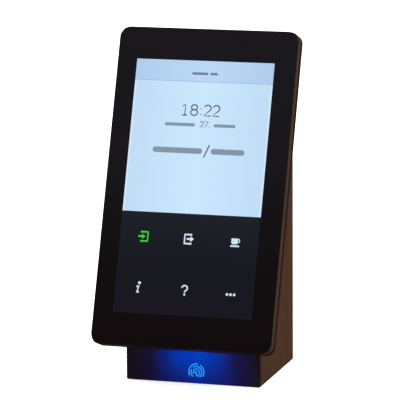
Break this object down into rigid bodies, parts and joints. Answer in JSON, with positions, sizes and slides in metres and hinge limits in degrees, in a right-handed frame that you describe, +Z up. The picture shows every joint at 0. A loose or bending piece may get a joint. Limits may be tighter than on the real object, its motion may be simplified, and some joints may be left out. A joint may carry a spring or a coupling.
{
  "type": "fingerprint scanner terminal",
  "caption": "Upright wall or desk access terminal: a leaning touch display head on a wedge base with a lit reader field under its chin and a hook-on wall plate.",
  "frame": {"origin": "on the ground under the middle of the whole object (centre of the bottom of its box)", "axes": "+Z up, the display faces -Y and leans back, +Y points at the wall, +X to the right as one faces the display"},
  "size_m": [0.1116, 0.1034, 0.2098],
  "materials": {
    "black_glass": "gloss black printed glass",
    "body_brown": "satin moulded plastic",
    "shell_dark": "moulded, darker than the housing",
    "smoked_window": "smoked, polished",
    "clear_guide": "clear acrylic",
    "blue_light": "lit blue",
    "lcd_grey": "display glass",
    "circuit_board": "green solder mask",
    "chip_black": "moulded",
    "steel": "zinc plated",
    "brass": "turned",
    "copper": "etched copper",
    "aluminium": "anodised",
    "rubber": "soft",
    "ribbon_film": "polyimide film",
    "green_plastic": "moulded",
    "red_plastic": "moulded"
  },
  "bodies": {
    "wall_plate": {"wall_plate": "body_brown", "foot_rear_left": "rubber", "foot_rear_right": "rubber"},
    "terminal": {"cover_glass": "black_glass", "head_frame": "body_brown", "main_housing": "body_brown", "head_rear_shell": "shell_dark", "reader_window": "smoked_window", "light_guide": "clear_guide", "touch_sensor": "clear_guide", "blue_led_1": "blue_light", "blue_led_2": "blue_light", "blue_led_3": "blue_light", "symbol_film": "blue_light", "lcd_panel": "lcd_grey", "display_board": "circuit_board", "reader_board": "circuit_board", "led_strip": "circuit_board", "mainboard": "circuit_board", "optical_sensor": "chip_black", "processor": "chip_black", "power_transformer": "chip_black", "cell_holder": "chip_black", "speaker": "chip_black", "tamper_switch": "chip_black", "reset_switch": "chip_black", "rear_cover": "steel", "coin_cell": "steel", "network_jack": "steel", "head_screw_1": "steel", "head_screw_2": "steel", "head_screw_3": "steel", "head_screw_4": "steel", "cover_screw_1": "steel", "cover_screw_2": "steel", "cover_screw_3": "steel", "cover_screw_4": "steel", "board_screw_1": "steel", "board_screw_2": "steel", "board_screw_3": "steel", "board_screw_4": "steel", "reader_screw_1": "steel", "reader_screw_2": "steel", "standoff_1": "brass", "standoff_2": "brass", "standoff_3": "brass", "standoff_4": "brass", "lock_nut": "brass", "antenna_coil": "copper", "backlight_unit": "aluminium", "heat_sink": "aluminium", "glass_gasket": "rubber", "foot_front_left": "rubber", "foot_front_right": "rubber", "display_cable": "ribbon_film", "terminal_block": "green_plastic"},
    "lock_screw": {"lock_screw": "steel"},
    "tamper_plunger": {"tamper_plunger": "red_plastic"},
    "reset_key": {"reset_key": "red_plastic"}
  },
  "joints": [
    {"name": "terminal_lift", "type": "slide", "parent": "wall_plate", "child": "terminal", "axis": [0, 0, 1], "range_m": [0, 0.008]},
    {"name": "lock_screw_turn", "type": "hinge", "parent": "terminal", "child": "lock_screw", "pos_m": [-0.04, 0.0317, 0.0185], "axis": [1, 0, 0], "continuous": true},
    {"name": "tamper_plunger_press", "type": "slide", "parent": "terminal", "child": "tamper_plunger", "axis": [0, -1, 0], "range_m": [0, 0.0015], "stiffness_N_per_m": 200},
    {"name": "reset_key_press", "type": "slide", "parent": "terminal", "child": "reset_key", "axis": [0, 0, 1], "range_m": [0, 0.0005], "stiffness_N_per_m": 400}
  ]
}
